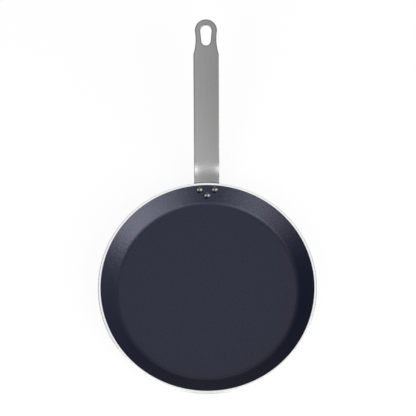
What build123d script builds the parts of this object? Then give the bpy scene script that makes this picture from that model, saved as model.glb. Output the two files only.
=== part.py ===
from build123d import *
import os
from math import asin, atan2, cos, degrees, radians, sin, sqrt

# Crepe pan: a shallow aluminium dish with a sloping wall, a non-stick coating sprayed inside it, and a
# flat steel bar handle that lies against the outside of the wall and is held there by three solid rivets.
# Millimetres. The origin is the middle of the base, on the surface that the pan stands on. +Z is up, and
# the handle leaves the dish along +Y.

# Dish: one pressed sheet, the same thickness in the floor and the wall
rim_diameter = 260.0
inside_depth = 17.0
wall_run = 18.8  # width of the sloping wall, seen from above
wall_thickness = 4.0
rim_face_width = 3.2  # bare machined ring, seen from above
rim_edge_radius = 1.2
floor_corner_radius = 10.0

# Coating: follows the inside of the dish and stops at the machined ring
coating_thickness = 0.2

# Rivets: a drop is measured down the slope of the wall from the inner edge of the rim
rivet_diameter = 5.0
rivet_head_diameter = 8.6
rivet_head_height = 2.0
rivet_tail_diameter = 8.2
rivet_tail_height = 1.8
upper_rivet_spacing = 18.0
upper_rivet_drop = 6.0
lower_rivet_drop = 13.9

# Handle: a steel bar, bent once above the rim and then gently curved
handle_width = 30.5
handle_thickness = 4.0
handle_edge_radius = 0.8  # deburred all round
tab_drop = 19.0  # how far down the wall the bar reaches
tab_corner_radius = 8.0
stub_length = 13.0  # straight run from the level of the rim to the bend
bend_radius = 32.0  # on the underside of the bar
grip_slope = radians(24.0)
tip_slope = radians(14.0)
flatten_length = 18.6  # from the end of the bend to where the bar is flat across
grip_length = 94.2  # gently curved run, from there to the straight end
head_length = 62.0  # straight end, with the eye
head_radius = 13.3
neck_width = 25.0
neck_radius = 60.0

# Eye: a pear-shaped hole to hang the pan by, its wide end towards the tip
eye_wide_radius = 6.8
eye_narrow_radius = 5.6
eye_length = 24.4
eye_margin = 7.1  # metal left between the eye and the tip

# How far a cutting shape runs past what it cuts
overrun = 1.0

# Places that follow from the sizes, as points of the section through the pan: (distance from the axis, z)
rim_radius = rim_diameter / 2
floor_z = wall_thickness
rim_z = floor_z + inside_depth
rim_inner_edge = Vector(rim_radius - rim_face_width, rim_z)
floor_corner = Vector(rim_inner_edge.X - wall_run, floor_z)
wall_slope = atan2(inside_depth, wall_run)
up_wall = Vector(cos(wall_slope), sin(wall_slope))
out_of_wall = Vector(sin(wall_slope), -cos(wall_slope))
outer_level = rim_inner_edge + out_of_wall * wall_thickness  # outside face, level with the inner rim edge


def along_wall_line(point, radius=None, height=None):
    # point on the line through `point` that runs up the wall's slope, at that distance from the axis or height
    if height is None:
        return point + up_wall * ((radius - point.X) / up_wall.X)
    return point + up_wall * ((height - point.Y) / up_wall.Y)


def rounded(face, corners):
    # face with each named corner rounded: corners is a list of (point, radius)
    for corner, radius in corners:
        vertex = face.vertices().sort_by_distance(Vector(corner.X, corner.Y))[0]
        face = fillet(vertex, radius)
    return face


def outline(*points):
    return make_face(Polyline(*[(point.X, point.Y) for point in points], close=True))


def turned(profile):
    # section drawn as (distance from the axis, z), turned once round the pan's axis
    return revolve(Plane.XZ * profile, Axis.Z)


def dish_blank():
    base_corner = along_wall_line(outer_level, height=0)
    rim_low = along_wall_line(outer_level, radius=rim_radius)
    rim_high = Vector(rim_radius, rim_z)
    profile = outline(
        Vector(0, 0), base_corner, rim_low, rim_high, rim_inner_edge, floor_corner, Vector(0, floor_z)
    )
    corners = [
        (base_corner, floor_corner_radius + wall_thickness),
        (rim_high, rim_edge_radius),
        (floor_corner, floor_corner_radius),
    ]
    return turned(rounded(profile, corners))


def coating_blank():
    on_wall = floor_corner - out_of_wall * coating_thickness
    top_edge = along_wall_line(on_wall, height=rim_z)
    corner = along_wall_line(on_wall, height=floor_z + coating_thickness)
    middle = Vector(0, floor_z)
    middle_top = Vector(0, floor_z + coating_thickness)
    profile = outline(middle, floor_corner, rim_inner_edge, top_edge, corner, middle_top)
    corners = [
        (floor_corner, floor_corner_radius),
        (corner, floor_corner_radius - coating_thickness),
    ]
    return turned(rounded(profile, corners))


def rivet_plane(drop, across):
    # plane on the inner face of the wall, its normal into the pan, `across` to the side of the handle's middle
    point = rim_inner_edge - up_wall * drop
    azimuth = asin(across / point.X)
    outward = Vector(sin(azimuth), cos(azimuth), 0)
    sideways = Vector(cos(azimuth), -sin(azimuth), 0)
    normal = Vector(0, 0, 1) * cos(wall_slope) - outward * sin(wall_slope)
    return Plane(origin=outward * point.X + Vector(0, 0, point.Y), x_dir=sideways, z_dir=normal)


rivet_planes = {
    "rivet_left": rivet_plane(upper_rivet_drop, -upper_rivet_spacing / 2),
    "rivet_right": rivet_plane(upper_rivet_drop, upper_rivet_spacing / 2),
    "rivet_lower": rivet_plane(lower_rivet_drop, 0),
}
seat_of_head = coating_thickness
seat_of_tail = -(wall_thickness + handle_thickness)


def shank(length_past):
    # round bar through coating, wall and tab, on a rivet plane, `length_past` longer at each end
    low = seat_of_tail - length_past
    return Pos(0, 0, low) * Cylinder(
        rivet_diameter / 2,
        seat_of_head + length_past - low,
        align=(Align.CENTER, Align.CENTER, Align.MIN),
    )


def without_rivet_holes(blank):
    for plane in rivet_planes.values():
        blank -= plane * shank(overrun)
    return blank


def dome(diameter, height, skirt):
    # spherical cap standing on z = 0, with a straight skirt below it that gets cut to its seat
    radius = diameter / 2
    ball_radius = (radius**2 + height**2) / (2 * height)
    half_chord = radius / 2
    on_ball = Vector(half_chord, height - ball_radius + sqrt(ball_radius**2 - half_chord**2))
    cap = ThreePointArc((0, height), (on_ball.X, on_ball.Y), (radius, 0))
    sides = Polyline((radius, 0), (radius, -skirt), (0, -skirt), (0, height))
    return turned(make_face(cap + sides))


def rivet(plane, inner_seat, outer_seat):
    # the head is drawn up against the coating, and the tail is closed against the tab
    skirt = rivet_head_height / 4  # reaches into the curved seat
    head = plane * Pos(0, 0, seat_of_head) * dome(rivet_head_diameter, rivet_head_height, skirt)
    tail_turn = Pos(0, 0, seat_of_tail) * Rot(180, 0, 0)
    tail = plane * tail_turn * dome(rivet_tail_diameter, rivet_tail_height, skirt)
    return (head - inner_seat) + (tail - outer_seat) + plane * shank(skirt)


def handle_tab():
    # the part of the bar that follows the round wall: a ring section with the wall's own slope, cut to width
    lengthwise = [-tab_drop - overrun, stub_length + overrun]
    inner = [outer_level + up_wall * distance for distance in lengthwise]
    outer = [point + out_of_wall * handle_thickness for point in reversed(inner)]
    half_angle = 2 * degrees(asin(handle_width / 2 / inner[0].X))
    ring = revolve(Plane.YZ * outline(*inner, *outer), Axis.Z, 2 * half_angle)
    ring = Rot(0, 0, -half_angle) * ring

    half_width = handle_width / 2
    low_left = Vector(-half_width, -tab_drop)
    low_right = Vector(half_width, -tab_drop)
    bar = outline(low_left, low_right, Vector(half_width, stub_length), Vector(-half_width, stub_length))
    bar = rounded(bar, [(low_left, tab_corner_radius), (low_right, tab_corner_radius)])
    face_plane = Plane(
        origin=(0, outer_level.X, outer_level.Y), x_dir=(1, 0, 0), z_dir=(0, -up_wall.Y, up_wall.X)
    )
    reach = handle_thickness + overrun
    return ring & (face_plane * extrude(bar, amount=reach, both=True))


# The bar's path is the middle line of its upper face. Its two bends both turn down, away from the wall's slope.
upper_bend_radius = bend_radius + handle_thickness
bend_length = upper_bend_radius * (wall_slope - grip_slope)
flat_from = bend_length + flatten_length
upper_grip_radius = (flatten_length + grip_length) / (grip_slope - tip_slope)
bend_start = outer_level + up_wall * stub_length


def turn_down(point, slope, radius, length):
    # end of an arc of that length that starts at point along slope and curves downwards
    end_slope = slope - length / radius
    centre = point + Vector(sin(slope), -cos(slope)) * radius
    return centre + Vector(-sin(end_slope), cos(end_slope)) * radius, end_slope, centre


def path_at(distance):
    # point, slope and centre of curvature of the path, that far past the start of the bend
    in_bend = min(distance, bend_length)
    point, slope, centre = turn_down(bend_start, wall_slope, upper_bend_radius, in_bend)
    if distance > bend_length:
        point, slope, centre = turn_down(point, slope, upper_grip_radius, distance - bend_length)
    return point, slope, centre


def bar_section(distance, sagitta):
    # cross-section of the bar: a strip whose edges stand `sagitta` above its middle
    point, slope, _ = path_at(distance)
    half_width = handle_width / 2
    edge_top = -sagitta
    edge_low = handle_thickness - sagitta
    if sagitta > 0:
        top = ThreePointArc((-half_width, edge_top), (0, 0), (half_width, edge_top))
        low = ThreePointArc((half_width, edge_low), (0, handle_thickness), (-half_width, edge_low))
    else:
        top = Line((-half_width, edge_top), (half_width, edge_top))
        low = Line((half_width, edge_low), (-half_width, edge_low))
    right = Line((half_width, edge_top), (half_width, edge_low))
    left = Line((-half_width, edge_low), (-half_width, edge_top))
    across = Plane(
        origin=(0, point.X, point.Y), x_dir=(1, 0, 0), z_dir=(0, cos(slope), sin(slope))
    )
    return across * make_face([*top.edges(), *right.edges(), *low.edges(), *left.edges()])


def handle_transition(tab):
    # from the tab's curved end, round the bend, to a flat bar
    tab_end = tab.faces().sort_by(Axis((0, 0, 0), (0, up_wall.X, up_wall.Y)))[-1]
    tab_sagitta = (handle_width / 2) ** 2 * sin(wall_slope) / (2 * bend_start.X)
    steps = 5
    sections = [tab_end]
    for step in range(1, steps + 1):
        share = step / steps
        fade = 1 - share * share * (3 - 2 * share)
        sections.append(bar_section(flat_from * share, tab_sagitta * fade))
    return loft(sections)


def handle_grip():
    _, _, centre = path_at(flat_from)
    section = bar_section(flat_from, 0)
    turn = degrees(grip_length / upper_grip_radius)
    return revolve(section, Axis((0, centre.X, centre.Y), (-1, 0, 0)), turn)


def handle_head():
    # straight end of the bar: full width up to its shoulders, then a waist and a round head
    half_width = handle_width / 2
    head_centre = Vector(0, head_length - head_radius)
    waist_x = neck_width / 2 + neck_radius
    centre_gap = neck_radius + head_radius
    waist_y = head_centre.Y - sqrt(centre_gap**2 - waist_x**2)
    shoulder_y = waist_y - sqrt(neck_radius**2 - (waist_x - half_width) ** 2)
    tangent = head_centre + (Vector(waist_x, waist_y) - head_centre) * (head_radius / centre_gap)
    waist = Vector(neck_width / 2, waist_y)

    def side(sign):
        return [
            Line((sign * half_width, 0), (sign * half_width, shoulder_y)),
            ThreePointArc(
                (sign * half_width, shoulder_y), (sign * waist.X, waist.Y), (sign * tangent.X, tangent.Y)
            ),
        ]

    top = ThreePointArc((-tangent.X, tangent.Y), (0, head_length), (tangent.X, tangent.Y))
    heel = Line((-half_width, 0), (half_width, 0))
    point, slope, _ = path_at(flat_from + grip_length)
    plane = Plane(
        origin=(0, point.X, point.Y), x_dir=(1, 0, 0), z_dir=(0, -sin(slope), cos(slope))
    )
    blank = plane * extrude(make_face([heel, *side(-1), top, *side(1)]), -handle_thickness)
    return blank, plane


def eye():
    # tangent lines join the wide and the narrow end
    wide_y = head_length - eye_margin - eye_wide_radius
    narrow_y = head_length - eye_margin - eye_length + eye_narrow_radius
    lean = asin((eye_wide_radius - eye_narrow_radius) / (wide_y - narrow_y))
    wide = Vector(eye_wide_radius * cos(lean), wide_y - eye_wide_radius * sin(lean))
    narrow = Vector(eye_narrow_radius * cos(lean), narrow_y - eye_narrow_radius * sin(lean))
    edges = [
        ThreePointArc((-wide.X, wide.Y), (0, wide_y + eye_wide_radius), (wide.X, wide.Y)),
        Line((wide.X, wide.Y), (narrow.X, narrow.Y)),
        ThreePointArc((narrow.X, narrow.Y), (0, narrow_y - eye_narrow_radius), (-narrow.X, narrow.Y)),
        Line((-narrow.X, narrow.Y), (-wide.X, wide.Y)),
    ]
    return extrude(make_face(edges), handle_thickness + overrun, both=True)


def handle_blank():
    tab = handle_tab()
    head, head_plane = handle_head()
    bar = tab + handle_transition(tab) + handle_grip() + head - head_plane * eye()
    return fillet(bar.edges(), handle_edge_radius)


dish = dish_blank()
coating = coating_blank()
bar = handle_blank()

parts = {
    "pan_body": without_rivet_holes(dish),
    "nonstick_coating": without_rivet_holes(coating),
    "handle": without_rivet_holes(bar),
}
for name, plane in rivet_planes.items():
    parts[name] = rivet(plane, dish + coating, bar)

os.makedirs("parts", exist_ok=True)
for name, part in parts.items():
    export_step(part, f"parts/{name}.step")
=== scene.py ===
import math

import bmesh
import bpy
import numpy as np
from mathutils import Matrix, Vector


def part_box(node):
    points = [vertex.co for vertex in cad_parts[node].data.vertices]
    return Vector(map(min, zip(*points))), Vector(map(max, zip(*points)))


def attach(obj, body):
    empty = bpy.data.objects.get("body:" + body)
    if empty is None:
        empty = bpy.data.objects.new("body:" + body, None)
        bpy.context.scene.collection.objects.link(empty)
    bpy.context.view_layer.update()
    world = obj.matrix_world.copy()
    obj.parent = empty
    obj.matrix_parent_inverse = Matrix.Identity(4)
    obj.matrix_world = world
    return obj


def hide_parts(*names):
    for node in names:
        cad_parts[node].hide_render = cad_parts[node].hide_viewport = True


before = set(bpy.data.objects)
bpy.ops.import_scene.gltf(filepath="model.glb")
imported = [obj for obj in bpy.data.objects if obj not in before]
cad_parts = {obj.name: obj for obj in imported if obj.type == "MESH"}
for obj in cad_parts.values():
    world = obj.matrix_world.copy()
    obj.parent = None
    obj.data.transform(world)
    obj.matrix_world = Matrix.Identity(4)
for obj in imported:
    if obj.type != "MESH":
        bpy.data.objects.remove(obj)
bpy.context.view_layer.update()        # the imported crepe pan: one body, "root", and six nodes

# lengths in the dictionaries are millimetres and angles are degrees; meshes are in metres
mm = 0.001
weldDistance = 0.0005  # points nearer than this are one
sharpAngle = 32.0  # a turn between faces that is larger than this shows as an edge


# quads between neighbouring points of a grid, joined round at the ends where a direction is closed
def gridFaces(rows, columns, closedRows=False, closedColumns=False):
    index = np.arange(rows * columns).reshape(rows, columns)
    if closedRows:
        index = np.vstack([index, index[:1]])
    if closedColumns:
        index = np.hstack([index, index[:, :1]])
    corners = [index[:-1, :-1], index[:-1, 1:], index[1:, 1:], index[1:, :-1]]
    return np.stack([corner.ravel() for corner in corners], 1)


# one object from several sheets of points and quads: their shared borders are welded, and its faces point
# outwards; edgeShade, where given, is painted shade for each point, which the piece's material reads
def makePiece(name, sheets, edgeShade=None):
    points = np.vstack([sheetPoints for sheetPoints, _ in sheets])
    starts = np.cumsum([0] + [len(sheetPoints) for sheetPoints, _ in sheets[:-1]])
    faces = np.vstack([sheetFaces + start for (_, sheetFaces), start in zip(sheets, starts)])
    mesh = bpy.data.meshes.new(name)
    mesh.from_pydata(points * mm, [], faces)
    if edgeShade is not None:
        mesh.attributes.new("painted_edge_shade", "FLOAT", "POINT").data.foreach_set("value", edgeShade)
    shell = bmesh.new()
    shell.from_mesh(mesh)
    bmesh.ops.remove_doubles(shell, verts=shell.verts, dist=weldDistance * mm)
    bmesh.ops.recalc_face_normals(shell, faces=shell.faces)
    shell.to_mesh(mesh)
    shell.free()
    piece = bpy.data.objects.new(name, mesh)
    bpy.context.scene.collection.objects.link(piece)
    return piece


# faces shade smoothly across turns of less than the angle, and show an edge at larger ones
def smoothUnder(piece, angle):
    mesh = piece.data
    mesh.polygons.foreach_set("use_smooth", np.ones(len(mesh.polygons), bool))
    mesh.set_sharp_from_angle(angle=math.radians(angle))
    mesh.update()


# straight runs through the corners, with a corner of radius r replaced by an arc: it starts r / tan(half
# the corner's angle) before the corner, and its centre is r / sin(half the angle) in along the bisector;
# longest is the longest stretch between two points of a run, and a further point, support away from each
# of its ends, keeps the shading of the arc or corner there off the run
def roundedPath(corners, radii, arcSteps=24, longest=4.0, support=0.15):
    stops = []
    for place, (corner, radius) in enumerate(zip(corners, radii)):
        corner = np.array(corner, float)
        if radius == 0:
            stops.append(corner[None])
            continue
        back = np.array(corners[place - 1]) - corner
        ahead = np.array(corners[place + 1]) - corner
        back, ahead = back / np.linalg.norm(back), ahead / np.linalg.norm(ahead)
        half = math.acos(np.clip(back @ ahead, -1, 1)) / 2
        bisector = (back + ahead) / np.linalg.norm(back + ahead)
        centre = corner + bisector * radius / math.sin(half)
        first = back / math.tan(half) * radius + corner - centre
        last = ahead / math.tan(half) * radius + corner - centre
        share = np.linspace(0, 1, arcSteps + 1)[:, None]
        turn = math.pi - 2 * half
        arc = (first * np.sin((1 - share) * turn) + last * np.sin(share * turn)) / math.sin(turn)
        stops.append(centre + arc)
    runs = [stops[0]]
    for start, end in zip(stops[:-1], stops[1:]):
        gap = end[0] - start[-1]
        length = np.linalg.norm(gap)
        near = min(support, length / 4) / length
        inner = np.linspace(0, 1, max(2, math.ceil(length / longest) + 1))[1:-1]
        share = np.concatenate([[near], inner, [1 - near]])[:, None]
        runs += [start[-1] + gap * share, end]
    return np.vstack(runs)


# a section of (distance from the axis, height) turned once: (distance cos, distance sin, height)
def turnedSheet(section, turns):
    angles = np.linspace(0, 2 * math.pi, turns, endpoint=False)
    ring = np.stack([np.cos(angles), np.sin(angles)], 1)
    across = ring[:, None, :] * section[None, :, :1]
    up = np.broadcast_to(section[None, :, 1:], across[..., :1].shape)
    points = np.concatenate([across, up], 2).reshape(-1, 3)
    return points, gridFaces(turns, len(section), closedRows=True)


dishSizes = {
    "rimRadius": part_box("pan_body")[1].x / mm,
    "rimHeight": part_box("pan_body")[1].z / mm,
    "sheet": 4.0,
    "wallRun": 18.8,  # width of the sloping wall, seen from above
    "rimFace": 3.2,  # bare ring, seen from above
    "rimEdge": 1.2,
    "floorCorner": 10.0,
    "turns": 384,
}


# places on the section of the dish that the other pieces share
def dishPlaces(sizes):
    inside = sizes["rimHeight"] - sizes["sheet"]
    slope = math.atan2(inside, sizes["wallRun"])
    upWall = np.array([math.cos(slope), math.sin(slope)])
    outOfWall = np.array([math.sin(slope), -math.cos(slope)])
    rimInner = np.array([sizes["rimRadius"] - sizes["rimFace"], sizes["rimHeight"]])
    return {
        "slope": slope,
        "upWall": upWall,
        "outOfWall": outOfWall,
        "rimInner": rimInner,
        "floorCorner": np.array([rimInner[0] - sizes["wallRun"], sizes["sheet"]]),
        "outerLevel": rimInner + outOfWall * sizes["sheet"],
    }


# point of a line along the wall's slope at a distance from the axis, or at a height
def onSlope(point, places, radius=None, height=None):
    upWall = places["upWall"]
    if height is None:
        return point + upWall * (radius - point[0]) / upWall[0]
    return point + upWall * (height - point[1]) / upWall[1]


# pressed dish: floor and wall of one thickness, a rounded outer rim edge and a sharp inner one
def makeDish(sizes, places):
    sheet, floorCorner = sizes["sheet"], sizes["floorCorner"]
    baseCorner = onSlope(places["outerLevel"], places, height=0)
    rimLow = onSlope(places["outerLevel"], places, radius=sizes["rimRadius"])
    rimHigh = (sizes["rimRadius"], sizes["rimHeight"])
    corners = [(0, 0), baseCorner, rimLow, rimHigh, places["rimInner"], places["floorCorner"], (0, sheet)]
    radii = [0, floorCorner + sheet, 0, sizes["rimEdge"], 0, floorCorner, 0]
    return makePiece("pan_body_pressed", [turnedSheet(roundedPath(corners, radii), sizes["turns"])])


coatingSizes = {
    "thickness": 0.2,
    "turns": 384,
}


# sprayed layer: the inside of the dish, and the same line moved in by the layer's thickness
def makeCoating(sizes, dish, places):
    thickness = sizes["thickness"]
    onWall = places["floorCorner"] - places["outOfWall"] * thickness
    topEdge = onSlope(onWall, places, height=dish["rimHeight"])
    corner = onSlope(onWall, places, height=dish["sheet"] + thickness)
    corners = [
        (0, dish["sheet"]), places["floorCorner"], places["rimInner"], topEdge, corner, (0, corner[1]),
    ]
    radii = [0, dish["floorCorner"], 0, 0, dish["floorCorner"] - thickness, 0]
    section = roundedPath(corners, radii, support=thickness / 2)
    return makePiece("nonstick_coating_sprayed", [turnedSheet(section, sizes["turns"])])


barSizes = {
    "halfWidth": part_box("handle")[1].x / mm,
    "thickness": 4.0,
    "edge": 0.8,  # rounding of every edge
    "tabDrop": 19.0,  # reach down the wall, from the level of the inner rim edge
    "tabCorner": 8.0,
    "stub": 13.0,  # straight run from that level up to the bend
    "bendRadius": 36.0,  # on the upper face
    "bendEase": 14.0,  # length over which the bend sets in and dies away
    "gripSlope": 24.0,
    "tipSlope": 14.0,
    "flatten": 18.6,  # from the bend's end to where the bar is flat across
    "leftCurl": 0.47,  # how far bending lifts the long edge on the left, at the middle of the bend
    "rightCurl": 0.42,
    "curlReach": 15.0,  # from there to where the lift has died away
    "grip": 94.2,
    "head": 62.0,
    "headRadius": 13.3,
    "neckHalfWidth": 12.5,
    "neckRadius": 60.0,
    "eyeWide": 6.8,
    "eyeNarrow": 5.6,
    "eyeLength": 24.4,
    "eyeMargin": 7.1,
    "shadeFrom": 0.5,  # distance from a cut edge up to which its painted shade is whole
    "shadeTo": 2.0,  # distance at which none is left
    "eyeShade": 0.9,  # how much of it the eye's edge keeps
    "rightShadeFade": 15.25,  # length round the shoulder over which the painted shade on the right edge fades out
    # how finely the surface is divided
    "edgeSteps": 6,
    "cornerSteps": 12,
    "sideSteps": 109,
    "neckSteps": 29,
    "headSteps": 44,
    "acrossSteps": 22,
    "nearEdge": 0.985,  # share of the half width at which one more row holds the long edges' shading
    "ringShares": (0, 0.03, 0.1, 0.25, 0.5, 0.75, 0.9, 0.97, 1),  # from the eye out to the outline
    "wideSamples": 600,
    "narrowSamples": 500,
    "lineSteps": 8000,
    "easeSamples": 25,
}


# the bar's slope falls evenly from the wall's to the grip's over the bend, and from there to the tip's
def barStations(sizes, places):
    wall, grip, tip = places["slope"], math.radians(sizes["gripSlope"]), math.radians(sizes["tipSlope"])
    bend = sizes["bendRadius"] * (wall - grip)
    lengths = [sizes["tabDrop"] + sizes["stub"], bend, sizes["flatten"] + sizes["grip"], sizes["head"]]
    stations = np.concatenate([[0], np.cumsum(lengths)])
    return stations, np.array([wall, wall, grip, tip, tip])


# middle line from the slope at evenly spaced places along it: the running sum of (cos slope, sin slope)
def runOf(slope, length):
    middle = (slope[1:] + slope[:-1]) / 2
    steps = np.stack([np.cos(middle), np.sin(middle)], 1) * length / len(middle)
    return np.vstack([[0, 0], np.cumsum(steps, 0)])


# (across, along, depth) of the flat bar carried to its bent place: the middle line, plus the height of
# the cross curve less the depth along the normal; the cross curve is across squared * sin(wall slope) /
# (2 * distance from the axis), and fades out from the bend's start to where the bar is flat; the slope is
# eased by a running mean, and what that moves the tip is taken back evenly past the bend's start; a bent
# strip also curls up at its edges, by the fourth power of across, over a bell of cos squared along it
def bentBar(flat, sizes, places):
    stations, slopes = barStations(sizes, places)
    bendStart, bendEnd, total = stations[1], stations[2], stations[-1]
    fine = np.linspace(0, total, sizes["lineSteps"] + 1)
    plainSlope = np.interp(fine, stations, slopes)
    window = np.linspace(-0.5, 0.5, sizes["easeSamples"]) * sizes["bendEase"]
    fineSlope = np.mean([np.interp(fine + shift, stations, slopes) for shift in window], 0)
    line = runOf(fineSlope, total)
    past = np.clip((fine - bendStart) / (total - bendStart), 0, 1)[:, None]
    line += (runOf(plainSlope, total)[-1] - line[-1]) * past
    fineY, fineZ = (places["outerLevel"] - places["upWall"] * sizes["tabDrop"] + line).T

    across, along, depth = flat.T
    slope = np.interp(along, fine, fineSlope)
    y = np.interp(along, fine, fineY)
    z = np.interp(along, fine, fineZ)
    share = np.clip((along - bendStart) / (bendEnd + sizes["flatten"] - bendStart), 0, 1)
    fade = 1 - share**2 * (3 - 2 * share)
    radius = np.interp(np.minimum(along, bendStart), fine, fineY)
    fromBend = (along - (bendStart + bendEnd) / 2) / sizes["curlReach"]
    lift = np.where(across < 0, sizes["leftCurl"], sizes["rightCurl"])
    curl = lift * np.cos(np.clip(fromBend, -1, 1) * math.pi / 2) ** 2 * (across / sizes["halfWidth"]) ** 4
    raised = across**2 * math.sin(places["slope"]) / (2 * radius) * fade + curl - depth
    return np.stack([across, y - np.sin(slope) * raised, z + np.cos(slope) * raised], 1)


# unit vectors (cos turn, sin turn) at evenly spaced turns
def unitArc(start, end, steps):
    turn = np.linspace(start, end, steps + 1)
    return np.stack([np.cos(turn), np.sin(turn)], 1)


# right half of the bar's outline, from its lower end to the tip, with the way out of the metal at each
# point; it has a corner arc, a straight side, a shoulder, a hollow neck arc and the round head
def barOutline(sizes, total):
    half = sizes["halfWidth"]
    corner = sizes["tabCorner"]
    headCentre = np.array([0, total - sizes["headRadius"]])
    reach = sizes["neckRadius"] + sizes["headRadius"]
    neckX = sizes["neckHalfWidth"] + sizes["neckRadius"]
    neckCentre = np.array([neckX, headCentre[1] - math.sqrt(reach**2 - neckX**2)])
    shoulderTurn = math.acos((neckX - half) / sizes["neckRadius"])
    headTurn = math.acos(neckX / reach)

    cornerOut = unitArc(-math.pi / 2, 0, sizes["cornerSteps"])
    cornerArc = np.array([half - corner, corner]) + cornerOut * corner
    shoulder = neckCentre[1] - sizes["neckRadius"] * math.sin(shoulderTurn)
    sideAlong = np.linspace(corner, shoulder, sizes["sideSteps"] + 1)[1:-1]
    side = np.stack([np.full_like(sideAlong, half), sideAlong], 1)
    sideOut = np.tile([1.0, 0.0], (len(side), 1))
    neckOut = unitArc(shoulderTurn, -headTurn, sizes["neckSteps"])
    neck = neckCentre - neckOut * sizes["neckRadius"]
    headOut = unitArc(-headTurn, math.pi / 2, sizes["headSteps"])[1:]
    head = headCentre + headOut * sizes["headRadius"]

    neckOut[0] = (neckOut[0] + [1, 0]) / (1 + neckOut[0, 0])  # mitre of the shoulder's two sides
    points = np.vstack([cornerArc, side, neck, head])
    outwards = np.vstack([cornerOut, sideOut, neckOut, headOut])
    return points, outwards, len(cornerArc) + len(side)


# the eye is the hull of a wide and a narrow circle; each point comes with the way from the eye into the
# metal, and they are picked so that, seen from the eye's middle, they lie in the given directions
def eyeOutline(sizes, total, middle, directions):
    wide, narrow = sizes["wideSamples"], sizes["narrowSamples"]
    wideY = total - sizes["eyeMargin"] - sizes["eyeWide"]
    narrowY = total - sizes["eyeMargin"] - sizes["eyeLength"] + sizes["eyeNarrow"]
    lean = math.asin((sizes["eyeWide"] - sizes["eyeNarrow"]) / (wideY - narrowY))
    inMetal = np.vstack([
        unitArc(-lean, math.pi + lean, wide - 1),
        unitArc(math.pi + lean, 2 * math.pi - lean, narrow - 1),
    ])
    radius = np.concatenate([np.full(wide, sizes["eyeWide"]), np.full(narrow, sizes["eyeNarrow"])])
    centreY = np.concatenate([np.full(wide, wideY), np.full(narrow, narrowY)])
    points = inMetal * radius[:, None] + np.stack([np.zeros_like(centreY), centreY], 1)
    points = np.vstack([points, points[:1]])
    inMetal = np.vstack([inMetal, inMetal[:1]])
    seen = points + inMetal * sizes["edge"]
    angle = np.unwrap(np.arctan2(seen[:, 1] - middle[1], seen[:, 0] - middle[0]))
    wanted = (directions - angle[0]) % (2 * math.pi) + angle[0]
    pick = np.interp(wanted, angle, np.arange(len(angle)))
    low = np.floor(pick).astype(int)
    high = np.minimum(low + 1, len(angle) - 1)
    part = (pick - low)[:, None]
    points = points[low] * (1 - part) + points[high] * part
    inMetal = inMetal[low] * (1 - part) + inMetal[high] * part
    return points, inMetal


# rounded edge of the bar: (distance in from the outline, depth) along two quarter circles and a flat
def edgeProfile(sizes):
    turn = np.linspace(0, math.pi / 2, sizes["edgeSteps"] + 1)
    inset = sizes["edge"] * (1 - np.sin(turn))
    depth = sizes["edge"] * (1 - np.cos(turn))
    return (
        np.concatenate([inset, [0], inset[::-1]]),
        np.concatenate([depth, [sizes["thickness"] / 2], sizes["thickness"] - depth[::-1]]),
    )


# closed outline carried through the edge profile
def edgeSheet(points, outwards, profile):
    inset, depth = profile
    place = points[None] - outwards[None] * inset[:, None, None]
    deep = np.broadcast_to(depth[:, None, None], place[..., :1].shape)
    flat = np.concatenate([place, deep], 2).reshape(-1, 3)
    return flat, gridFaces(len(inset), len(points), closedColumns=True)


# how much painted shade the bar's rounded cut edges get: whole near the edges and falling evenly to none
# further in; along the right edge of the grip, below the shoulder, it fades out
def paintedEdgeShade(flat, outline, eye, shoulder, sizes):
    edges = []
    for cut in (outline, eye):
        away = np.linalg.norm(flat[:, None, :2] - cut[None], axis=2).min(1)
        edges.append(np.clip((sizes["shadeTo"] - away) / (sizes["shadeTo"] - sizes["shadeFrom"]), 0, 1))
    faded = np.clip((shoulder - flat[:, 1]) / sizes["rightShadeFade"] + 0.5, 0, 1) * (flat[:, 0] > 0)
    return np.maximum(edges[0], edges[1] * sizes["eyeShade"]) * (1 - faded)


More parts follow.
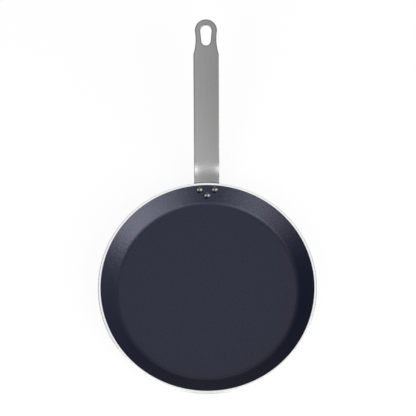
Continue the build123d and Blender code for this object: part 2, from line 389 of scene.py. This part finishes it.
# upper and lower face of the bar: straight rows across it up to the shoulders, then rings round the eye,
# each between the eye and the outline; then the rounded edges of the outline and the eye
def makeBar(sizes, places):
    total = barStations(sizes, places)[0][-1]
    right, rightOut, rowCount = barOutline(sizes, total)
    inset = right - rightOut * sizes["edge"]
    share = np.linspace(-1, 1, sizes["acrossSteps"] + 1)
    share = np.concatenate([[-1], [-sizes["nearEdge"]], share[1:-1], [sizes["nearEdge"]], [1]])
    rowEnds = inset[: rowCount + 1]
    rowHeights = np.broadcast_to(rowEnds[:, 1:], (len(rowEnds), len(share)))
    rows = np.stack([rowEnds[:, :1] * share, rowHeights], 2)

    mirror = np.array([-1.0, 1.0])
    head, headOut = right[rowCount:], rightOut[rowCount:]
    headLoop = np.vstack([head, head[-2::-1] * mirror])
    headLoopOut = np.vstack([headOut, headOut[-2::-1] * mirror])
    ringOuter = np.vstack([headLoop - headLoopOut * sizes["edge"], rows[-1, 1:-1]])
    middle = np.array([0, total - sizes["eyeMargin"] - sizes["eyeLength"] / 2])
    directions = np.arctan2(ringOuter[:, 1] - middle[1], ringOuter[:, 0] - middle[0])
    eye, eyeIn = eyeOutline(sizes, total, middle, directions)
    ringInner = eye + eyeIn * sizes["edge"]
    ringShare = np.array(sizes["ringShares"])[:, None, None]
    rings = ringInner * (1 - ringShare) + ringOuter * ringShare

    sheets = []
    for depth in (0.0, sizes["thickness"]):
        for grid, closed in ((rows, False), (rings, True)):
            flat = grid.reshape(-1, 2)
            flat = np.column_stack([flat, np.full(len(flat), depth)])
            sheets.append((flat, gridFaces(*grid.shape[:2], closedColumns=closed)))
    foot = np.stack([share[1:-1] * right[0, 0], np.zeros(len(share) - 2)], 1)
    footOut = np.tile([0.0, -1.0], (len(foot), 1))
    loop = np.vstack([foot, right, right[-2::-1] * mirror])
    loopOut = np.vstack([footOut, rightOut, rightOut[-2::-1] * mirror])
    profile = edgeProfile(sizes)
    sheets.append(edgeSheet(loop, loopOut, profile))
    sheets.append(edgeSheet(eye, -eyeIn, profile))
    bent = [(bentBar(flat, sizes, places), faces) for flat, faces in sheets]
    # painted shade along the cut edges, a value for each point
    edgeShade = np.concatenate([paintedEdgeShade(flat, loop, eye, right[rowCount, 1], sizes) for flat, _ in sheets])
    return makePiece("handle_bar", bent, edgeShade)


rivetSizes = {
    "shankRadius": 2.5,
    "headRadius": 4.3,
    "headHeight": 2.0,
    "tailRadius": 4.1,
    "tailHeight": 1.8,
    # how far down the wall from the inner rim edge, and how far across
    "places": {"rivet_left": (6.0, -9.0), "rivet_right": (6.0, 9.0), "rivet_lower": (13.9, 0.0)},
    "pinAbove": 3.0,  # how far the pins that cut the holes reach past the wall's inner face
    "pinBelow": 11.0,
    "turns": 96,
    "capPoints": 28,
}


# frame of a rivet: its middle on the inner face of the wall, its third axis square to it, into the pan
def rivetFrame(drop, across, places):
    point = places["rimInner"] - places["upWall"] * drop
    azimuth = math.asin(across / point[0])
    outward = Vector((math.sin(azimuth), math.cos(azimuth), 0))
    sideways = Vector((math.cos(azimuth), -math.sin(azimuth), 0))
    normal = Vector((0, 0, math.cos(places["slope"]))) - outward * math.sin(places["slope"])
    origin = outward * point[0] + Vector((0, 0, point[1]))
    turn = Matrix((sideways, normal.cross(sideways), normal)).transposed()
    return Matrix.Translation(origin * mm) @ turn.to_4x4()


# spherical cap: (ball radius * sin, height - ball radius * (1 - cos)), from its top down to its rim
def capSection(radius, height, points):
    ball = (radius**2 + height**2) / (2 * height)
    turn = np.linspace(0, math.asin(min(1, radius / ball)), points)
    return np.stack([ball * np.sin(turn), height - ball * (1 - np.cos(turn))], 1)


# upset rivet: cap on the coating, shank through all three layers, flatter cap on the tab
def makeRivet(name, drop, across, sizes, headSeat, tailSeat, places):
    head = capSection(sizes["headRadius"], sizes["headHeight"], sizes["capPoints"])
    tail = capSection(sizes["tailRadius"], sizes["tailHeight"], sizes["capPoints"])[::-1] * [1, -1]
    shank = np.array([[sizes["shankRadius"], headSeat], [sizes["shankRadius"], tailSeat]])
    section = np.vstack([head + [0, headSeat], shank, tail + [0, tailSeat]])
    piece = makePiece(name, [turnedSheet(section, sizes["turns"])])
    piece.data.transform(rivetFrame(drop, across, places))
    return piece


# straight round pins through every layer, to cut the rivet holes with
def makeHoleCutter(sizes, places):
    radius, top, bottom = sizes["shankRadius"], sizes["pinAbove"], -sizes["pinBelow"]
    section = np.array([[0, top], [radius, top], [radius, bottom], [0, bottom]])
    cutter = bmesh.new()
    for drop, across in sizes["places"].values():
        pin = makePiece("pin", [turnedSheet(section, sizes["turns"])])
        pin.data.transform(rivetFrame(drop, across, places))
        cutter.from_mesh(pin.data)
        bpy.data.objects.remove(pin)
    mesh = bpy.data.meshes.new("hole_cutter")
    cutter.to_mesh(mesh)
    cutter.free()
    piece = bpy.data.objects.new("hole_cutter", mesh)
    bpy.context.scene.collection.objects.link(piece)
    return piece


def cutHoles(piece, cutter):
    cut = piece.modifiers.new("holes", "BOOLEAN")
    cut.operation = "DIFFERENCE"
    cut.solver = "EXACT"
    cut.object = cutter
    bpy.context.view_layer.update()
    finished = bpy.data.meshes.new_from_object(piece.evaluated_get(bpy.context.evaluated_depsgraph_get()))
    piece.modifiers.clear()
    piece.data = finished


# sRGB hex to linear: value / 12.92 up to 0.04045, and above it ((value + 0.055) / 1.055) to the power 2.4
def linearColour(hexValue):
    parts = [int(hexValue[place:place + 2], 16) / 255 for place in (1, 3, 5)]
    linear = [part / 12.92 if part <= 0.04045 else ((part + 0.055) / 1.055) ** 2.4 for part in parts]
    return linear + [1.0]


# one node, with its settings and its inputs, each of which is a constant or another node's output
def addNode(tree, kind, settings=None, inputs=None):
    node = tree.nodes.new(kind)
    for name, value in (settings or {}).items():
        setattr(node, name, value)
    for name, value in (inputs or {}).items():
        if isinstance(value, bpy.types.NodeSocket):
            tree.links.new(value, node.inputs[name])
        else:
            node.inputs[name].default_value = value
    return node


def emptyMaterial(name):
    material = bpy.data.materials.new(name)
    material.use_nodes = True
    material.node_tree.nodes.clear()
    return material, material.node_tree


# empty material, and the object coordinates in millimetres
def startMaterial(name):
    material, tree = emptyMaterial(name)
    place = addNode(tree, "ShaderNodeTexCoord").outputs["Object"]
    inMillimetres = addNode(
        tree, "ShaderNodeVectorMath", {"operation": "SCALE"}, {0: place, "Scale": 1 / mm}
    ).outputs[0]
    return material, tree, inMillimetres


# Sprayed and baked fluoropolymer: a near-black blue that shines softly at a slant, over fine orange peel
sprayedNonStick = {
    "dark": "#040a1d",
    "pale": "#060c23",
    "ior": 1.575,
    "tint": "#e7e7fc",
    "roughness": (0.36, 0.44),
    "shine": (0.36, 0.64),  # specular level, from the pits of the grain to its tops
    "peelSize": 3.2,  # between the bumps of the orange peel, coarser than real ones so that they show
    "peelHeight": 0.20,
    "grainSize": 1.3,  # also coarser than the real grain
    "grainHeight": 0.07,
}


def makeSprayedNonStick(look):
    material, tree, place = startMaterial("sprayed_nonstick")
    peel = addNode(
        tree, "ShaderNodeTexNoise", None,
        {"Scale": 1 / look["peelSize"], "Detail": 2.0, "Vector": place},
    ).outputs["Fac"]
    grain = addNode(
        tree, "ShaderNodeTexNoise", None,
        {"Scale": 1 / look["grainSize"], "Detail": 1.0, "Vector": place},
    ).outputs["Fac"]
    shade = addNode(
        tree, "ShaderNodeMix", {"data_type": "RGBA"},
        {"A": linearColour(look["dark"]), "B": linearColour(look["pale"]), "Factor": peel},
    ).outputs[2]
    rough = addNode(
        tree, "ShaderNodeMapRange", None,
        {"To Min": look["roughness"][0], "To Max": look["roughness"][1], "Value": grain},
    ).outputs[0]
    shine = addNode(
        tree, "ShaderNodeMapRange", None,
        {"To Min": look["shine"][0], "To Max": look["shine"][1], "Value": grain},
    ).outputs[0]
    coarse = addNode(
        tree, "ShaderNodeBump", None,
        {"Strength": 1.0, "Distance": look["peelHeight"] * mm, "Height": peel},
    ).outputs["Normal"]
    fine = addNode(
        tree, "ShaderNodeBump", None,
        {"Strength": 1.0, "Distance": look["grainHeight"] * mm, "Height": grain, "Normal": coarse},
    ).outputs["Normal"]
    shader = addNode(
        tree, "ShaderNodeBsdfPrincipled", None,
        {
            "IOR": look["ior"], "Specular Tint": linearColour(look["tint"]), "Base Color": shade,
            "Roughness": rough, "Normal": fine, "Specular IOR Level": shine,
        },
    )
    addNode(tree, "ShaderNodeOutputMaterial", None, {"Surface": shader.outputs[0]})
    return material


# Pressed aluminium, turned on a lathe and left bare: pale and satin, with fine rings round the pan's axis
turnedAluminium = {
    "dark": "#f3f3f4",
    "pale": "#f9f9fa",
    "cloudSize": 25 / 3,  # faint patches of the two tones
    "outside": 0.80,  # tone below the machined rim: a brushed outside, plus painted shade
    "roughness": (0.24, 0.34),
    "pitch": 0.9,  # between rings, some four times the real feed so that they show
    "waver": 0.4,
    "ringHeight": 0.0025,
    "anisotropy": 0.35,
}


def makeTurnedAluminium(look, dish):
    material, tree, place = startMaterial("turned_aluminium")
    rings = addNode(
        tree, "ShaderNodeTexWave", {"wave_type": "RINGS", "rings_direction": "Z", "wave_profile": "SIN"},
        {
            "Scale": math.pi / (10 * look["pitch"]),  # at a scale of 1 the rings are pi / 10 apart
            "Distortion": look["waver"], "Detail": 1.0, "Detail Scale": 0.4, "Vector": place,
        },
    ).outputs["Fac"]
    cloud = addNode(
        tree, "ShaderNodeTexNoise", None,
        {"Scale": 1 / look["cloudSize"], "Detail": 3.0, "Vector": place},
    ).outputs["Fac"]
    shade = addNode(
        tree, "ShaderNodeMix", {"data_type": "RGBA"},
        {"A": linearColour(look["dark"]), "B": linearColour(look["pale"]), "Factor": cloud},
    ).outputs[2]
    height = addNode(tree, "ShaderNodeSeparateXYZ", None, {0: place}).outputs["Z"]
    # darker below the rim: partly the brushed outside, partly painted shade of the shadowed floor it
    # reflects
    tone = addNode(
        tree, "ShaderNodeMapRange", None,
        {
            "From Min": dish["rimHeight"] - dish["rimEdge"],
            "From Max": dish["rimHeight"] - dish["rimEdge"] / 3,
            "To Min": look["outside"], "To Max": 1.0, "Value": height,
        },
    ).outputs[0]
    shade = addNode(
        tree, "ShaderNodeVectorMath", {"operation": "SCALE"}, {0: shade, "Scale": tone}
    ).outputs[0]
    rough = addNode(
        tree, "ShaderNodeMapRange", None,
        {"To Min": look["roughness"][0], "To Max": look["roughness"][1], "Value": rings},
    ).outputs[0]
    ridges = addNode(
        tree, "ShaderNodeBump", None,
        {"Strength": 1.0, "Distance": look["ringHeight"] * mm, "Height": rings},
    ).outputs["Normal"]
    roundAxis = addNode(
        tree, "ShaderNodeTangent", {"direction_type": "RADIAL", "axis": "Z"}
    ).outputs[0]
    shader = addNode(
        tree, "ShaderNodeBsdfPrincipled", None,
        {
            "Metallic": 1.0, "Anisotropic": look["anisotropy"], "Base Color": shade,
            "Roughness": rough, "Normal": ridges, "Tangent": roundAxis,
        },
    )
    addNode(tree, "ShaderNodeOutputMaterial", None, {"Surface": shader.outputs[0]})
    return material


# Hot-rolled strip steel, blanked, descaled and tumbled: a mid grey, matt, with faint streaks along the
# bar;
# painted light makes it lighter on the left and darker on the right, and a thin line of painted shade
# runs along its cut edges
tumbledSteel = {
    "dark": "#9f9e9e",
    "pale": "#afaeae",
    "roughness": (0.32, 0.38),
    "streakWidth": 0.9,  # coarser than real, as the specks are, so that they show
    "streakLength": 45.0,
    "streakShare": 0.5,  # weight of the streaks in the shade, next to the specks
    "speckSize": 0.8,
    "spread": (0.45, 1.05),  # sums of streaks and specks that are dark and pale
    "streakHeight": 0.004,
    "speckHeight": 0.006,
    "paintedLightLeft": 1.11,  # painted light: tone at the left edge of the bar, falling evenly to the right one
    "paintedShadeRight": 0.92,
    "edgeShadeTone": 0.66,  # tone of the painted shade on the cut edges
}


def makeTumbledSteel(look, bar):
    material, tree, place = startMaterial("tumbled_steel")
    across, along = 1 / look["streakWidth"], 1 / look["streakLength"]
    stretched = addNode(
        tree, "ShaderNodeMapping", None, {"Scale": (across, along, along), "Vector": place}
    ).outputs["Vector"]
    streaks = addNode(
        tree, "ShaderNodeTexNoise", None, {"Scale": 1.0, "Detail": 3.0, "Vector": stretched}
    ).outputs["Fac"]
    specks = addNode(
        tree, "ShaderNodeTexNoise", None,
        {"Scale": 1 / look["speckSize"], "Detail": 2.0, "Vector": place},
    ).outputs["Fac"]
    both = addNode(
        tree, "ShaderNodeMath", {"operation": "MULTIPLY_ADD"},
        {0: streaks, 1: look["streakShare"], 2: specks},
    ).outputs[0]
    evened = addNode(
        tree, "ShaderNodeMapRange", None,
        {"From Min": look["spread"][0], "From Max": look["spread"][1], "Value": both},
    ).outputs[0]
    shade = addNode(
        tree, "ShaderNodeMix", {"data_type": "RGBA"},
        {"A": linearColour(look["dark"]), "B": linearColour(look["pale"]), "Factor": evened},
    ).outputs[2]
    # painted light and shade: the bar is made lighter at its left edge and darker at its right
    fromMiddle = addNode(tree, "ShaderNodeSeparateXYZ", None, {0: place}).outputs["X"]
    side = addNode(
        tree, "ShaderNodeMapRange", None,
        {
            "From Min": -bar["halfWidth"], "From Max": bar["halfWidth"],
            "To Min": look["paintedLightLeft"], "To Max": look["paintedShadeRight"], "Value": fromMiddle,
        },
    ).outputs[0]
    # painted shade along the cut edges, read from the value for each point
    edgeShade = addNode(tree, "ShaderNodeAttribute", {"attribute_name": "painted_edge_shade"}).outputs["Fac"]
    edge = addNode(
        tree, "ShaderNodeMapRange", None, {"To Min": 1.0, "To Max": look["edgeShadeTone"], "Value": edgeShade}
    ).outputs[0]
    tone = addNode(tree, "ShaderNodeMath", {"operation": "MULTIPLY"}, {0: side, 1: edge}).outputs[0]
    shade = addNode(
        tree, "ShaderNodeVectorMath", {"operation": "SCALE"}, {0: shade, "Scale": tone}
    ).outputs[0]
    rough = addNode(
        tree, "ShaderNodeMapRange", None,
        {"To Min": look["roughness"][0], "To Max": look["roughness"][1], "Value": specks},
    ).outputs[0]
    coarse = addNode(
        tree, "ShaderNodeBump", None,
        {"Strength": 1.0, "Distance": look["streakHeight"] * mm, "Height": streaks},
    ).outputs["Normal"]
    fine = addNode(
        tree, "ShaderNodeBump", None,
        {"Strength": 1.0, "Distance": look["speckHeight"] * mm, "Height": specks, "Normal": coarse},
    ).outputs["Normal"]
    shader = addNode(
        tree, "ShaderNodeBsdfPrincipled", None,
        {"Metallic": 1.0, "Base Color": shade, "Roughness": rough, "Normal": fine},
    )
    addNode(tree, "ShaderNodeOutputMaterial", None, {"Surface": shader.outputs[0]})
    return material


# Aluminium rivet, closed in a polished die and then dulled by baking and washing: a smooth dark grey head
# with small clear highlights
formedAluminium = {
    "dark": "#5b5a58",
    "pale": "#6d6c6f",
    "roughness": (0.22, 0.30),
    "markSize": 0.9,
    "markHeight": 0.006,
}


def makeFormedAluminium(look):
    material, tree, place = startMaterial("formed_aluminium")
    marks = addNode(
        tree, "ShaderNodeTexNoise", None,
        {"Scale": 1 / look["markSize"], "Detail": 2.0, "Vector": place},
    ).outputs["Fac"]
    shade = addNode(
        tree, "ShaderNodeMix", {"data_type": "RGBA"},
        {"A": linearColour(look["dark"]), "B": linearColour(look["pale"]), "Factor": marks},
    ).outputs[2]
    rough = addNode(
        tree, "ShaderNodeMapRange", None,
        {"To Min": look["roughness"][0], "To Max": look["roughness"][1], "Value": marks},
    ).outputs[0]
    dents = addNode(
        tree, "ShaderNodeBump", None,
        {"Strength": 1.0, "Distance": look["markHeight"] * mm, "Height": marks},
    ).outputs["Normal"]
    shader = addNode(
        tree, "ShaderNodeBsdfPrincipled", None,
        {"Metallic": 1.0, "Base Color": shade, "Roughness": rough, "Normal": dents},
    )
    addNode(tree, "ShaderNodeOutputMaterial", None, {"Surface": shader.outputs[0]})
    return material


# White paper sweep: matt white, and nearly pure white to the eye and in reflections, so that only a faint
# shadow of the pan stays on it
paperFloor = {
    "colour": "#f4f4f4",
    "glow": 0.9,
    "halfWidth": 9000.0,
}


def makeFloor(look):
    material, tree = emptyMaterial("white_paper")
    matt = addNode(tree, "ShaderNodeBsdfDiffuse", None, {"Color": linearColour(look["colour"])})
    glow = addNode(tree, "ShaderNodeEmission", None, {"Strength": 1.0})
    ray = addNode(tree, "ShaderNodeLightPath").outputs
    seen = addNode(
        tree, "ShaderNodeMath", {"operation": "MAXIMUM"},
        {0: ray["Is Camera Ray"], 1: ray["Is Glossy Ray"]},
    ).outputs[0]
    seen = addNode(
        tree, "ShaderNodeMath", {"operation": "MAXIMUM"}, {0: seen, 1: ray["Is Transmission Ray"]}
    ).outputs[0]
    share = addNode(
        tree, "ShaderNodeMath", {"operation": "MULTIPLY"}, {0: seen, 1: look["glow"]}
    ).outputs[0]
    mixed = addNode(
        tree, "ShaderNodeMixShader", None, {0: share, 1: matt.outputs[0], 2: glow.outputs[0]}
    )
    addNode(tree, "ShaderNodeOutputMaterial", None, {"Surface": mixed.outputs[0]})
    half = look["halfWidth"] * mm
    corners = [(-half, -half, 0), (half, -half, 0), (half, half, 0), (-half, half, 0)]
    mesh = bpy.data.meshes.new("paper_floor")
    mesh.from_pydata(corners, [], [(0, 1, 2, 3)])
    mesh.materials.append(material)
    floor = bpy.data.objects.new("paper_floor", mesh)
    bpy.context.scene.collection.objects.link(floor)


# Studio: a dim even surround with soft glows behind, overhead, in front and low on the right, a large
# soft box on the right with a brighter one low in it, and a tall and a wide soft box on the left. Azimuth
# 0 is in front of the pan, and 90 is on its right
studioLight = {
    "surround": 0.15,
    # azimuth, elevation, sharpness, radiance
    "glows": {
        "overhead": (180.0, 72.0, 20.0, 0.95),
        "behind": (180.0, 24.0, 6.0, 0.68),
        "in_front": (0.0, 74.0, 25.0, 0.60),
        "right_low": (110.0, 8.0, 12.0, 0.46),
    },
    # azimuth, elevation, width and height as angles seen from the pan, radiance
    "boxes": {
        "soft_box_right": (47.5, 30.5, 50.0, 47.0, 3.9),
        "soft_box_right_low": (61.0, 16.0, 28.0, 17.0, 4.1),
        "soft_box_left": (-40.5, 34.0, 45.0, 45.0, 1.6),
        "soft_box_left_tall": (-38.0, 36.5, 17.0, 32.0, 4.4),
    },
    "boxDistance": 3600.0,
    "aim": (0.0, 100.0, 20.0),
}


# unit vector (sin azimuth * cos elevation, -cos azimuth * cos elevation, sin elevation)
def towards(azimuth, elevation):
    azimuth, elevation = math.radians(azimuth), math.radians(elevation)
    level = math.cos(elevation)
    return Vector((math.sin(azimuth) * level, -math.cos(azimuth) * level, math.sin(elevation)))


# above the horizon, radiance = surround + the sum over the glows of
# glow radiance * e to the power (sharpness * (cosine of the angle from the glow's middle - 1))
def makeSky(look):
    world = bpy.data.worlds.new("studio")
    bpy.context.scene.world = world
    world.use_nodes = True
    tree = world.node_tree
    tree.nodes.clear()
    direction = addNode(tree, "ShaderNodeTexCoord").outputs["Generated"]
    total = look["surround"]
    for azimuth, elevation, sharpness, radiance in look["glows"].values():
        cosine = addNode(
            tree, "ShaderNodeVectorMath", {"operation": "DOT_PRODUCT"},
            {0: direction, 1: towards(azimuth, elevation)},
        ).outputs["Value"]
        power = addNode(
            tree, "ShaderNodeMath", {"operation": "MULTIPLY_ADD"},
            {0: cosine, 1: sharpness, 2: -sharpness},
        ).outputs[0]
        fall = addNode(tree, "ShaderNodeMath", {"operation": "EXPONENT"}, {0: power}).outputs[0]
        total = addNode(
            tree, "ShaderNodeMath", {"operation": "MULTIPLY_ADD"}, {0: fall, 1: radiance, 2: total}
        ).outputs[0]
    height = addNode(tree, "ShaderNodeSeparateXYZ", None, {0: direction}).outputs["Z"]
    aboveHorizon = addNode(
        tree, "ShaderNodeMath", {"operation": "GREATER_THAN"}, {0: height, 1: 0.0}
    ).outputs[0]
    strength = addNode(
        tree, "ShaderNodeMath", {"operation": "MULTIPLY"}, {0: total, 1: aboveHorizon}
    ).outputs[0]
    sky = addNode(tree, "ShaderNodeBackground", None, {"Color": (1, 1, 1, 1), "Strength": strength})
    addNode(tree, "ShaderNodeOutputWorld", None, {"Surface": sky.outputs[0]})


# a box as wide and high as 2 * distance * tan(half its angle), with the power of a matt panel of its
# radiance: radiance * pi * area
def makeSoftBoxes(look):
    distance = look["boxDistance"] * mm
    for name, (azimuth, elevation, width, height, radiance) in look["boxes"].items():
        lamp = bpy.data.lights.new(name, "AREA")
        lamp.shape = "RECTANGLE"
        lamp.size = 2 * distance * math.tan(math.radians(width / 2))
        lamp.size_y = 2 * distance * math.tan(math.radians(height / 2))
        lamp.energy = radiance * math.pi * lamp.size * lamp.size_y
        stand = bpy.data.objects.new(name, lamp)
        out = towards(azimuth, elevation)
        stand.location = Vector(look["aim"]) * mm + out * distance
        stand.rotation_mode = "QUATERNION"
        stand.rotation_quaternion = (-out).to_track_quat("-Z", "Y")
        stand.visible_camera = False
        bpy.context.scene.collection.objects.link(stand)


cameraSizes = {
    "aim": (1.28, 104.5, 0.0),
    "distance": 2700.0,
    "azimuth": -0.35,  # from the front, towards the right
    "elevation": 71.95,
    "lens": 193.5,
    "nearest": 100.0,
    "farthest": 50000.0,
}


def makeCamera(sizes):
    data = bpy.data.cameras.new("camera")
    data.lens = sizes["lens"]
    data.clip_start, data.clip_end = sizes["nearest"] * mm, sizes["farthest"] * mm
    camera = bpy.data.objects.new("camera", data)
    back = towards(sizes["azimuth"], sizes["elevation"])
    camera.location = (Vector(sizes["aim"]) + back * sizes["distance"]) * mm
    camera.rotation_euler = (math.radians(90 - sizes["elevation"]), 0, math.radians(sizes["azimuth"]))
    bpy.context.scene.collection.objects.link(camera)
    bpy.context.scene.camera = camera


# how far the piece's box and its solid's box differ, at the corner where they differ most
def reportFit(piece, node):
    points = np.empty(len(piece.data.vertices) * 3)
    piece.data.vertices.foreach_get("co", points)
    points = points.reshape(-1, 3)
    low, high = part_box(node)
    off = max(np.abs(points.min(0) - low).max(), np.abs(points.max(0) - high).max()) / mm
    print(f"{piece.name}: {len(piece.data.polygons)} faces, box within {off:.3f} mm of {node}")


makeCamera(cameraSizes)
makeSky(studioLight)
makeSoftBoxes(studioLight)
makeFloor(paperFloor)
print("studio is ready")

aluminium = makeTurnedAluminium(turnedAluminium, dishSizes)
nonStick = makeSprayedNonStick(sprayedNonStick)
steel = makeTumbledSteel(tumbledSteel, barSizes)
rivetMetal = makeFormedAluminium(formedAluminium)
print("materials are ready")

places = dishPlaces(dishSizes)
pieces = [
    (makeDish(dishSizes, places), "pan_body", aluminium, "pan_aluminium"),
    (makeCoating(coatingSizes, dishSizes, places), "nonstick_coating", nonStick, "nonstick"),
    (makeBar(barSizes, places), "handle", steel, "handle_steel"),
]
cutter = makeHoleCutter(rivetSizes, places)
for piece, *_ in pieces:
    cutHoles(piece, cutter)
bpy.data.objects.remove(cutter)
headSeat = coatingSizes["thickness"]
tailSeat = -dishSizes["sheet"] - barSizes["thickness"]
for node, (drop, across) in rivetSizes["places"].items():
    rivet = makeRivet(f"{node}_formed", drop, across, rivetSizes, headSeat, tailSeat, places)
    pieces.append((rivet, node, rivetMetal, "rivet_aluminium"))
print("pieces are made")

for piece, node, material, slot in pieces:
    smoothUnder(piece, sharpAngle)
    piece.data.materials.clear()
    piece.data.materials.append(material)
    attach(piece, "root")
    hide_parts(node)
    reportFit(piece, node)

bpy.context.scene.view_settings.view_transform = "Standard"
print("scene is complete")
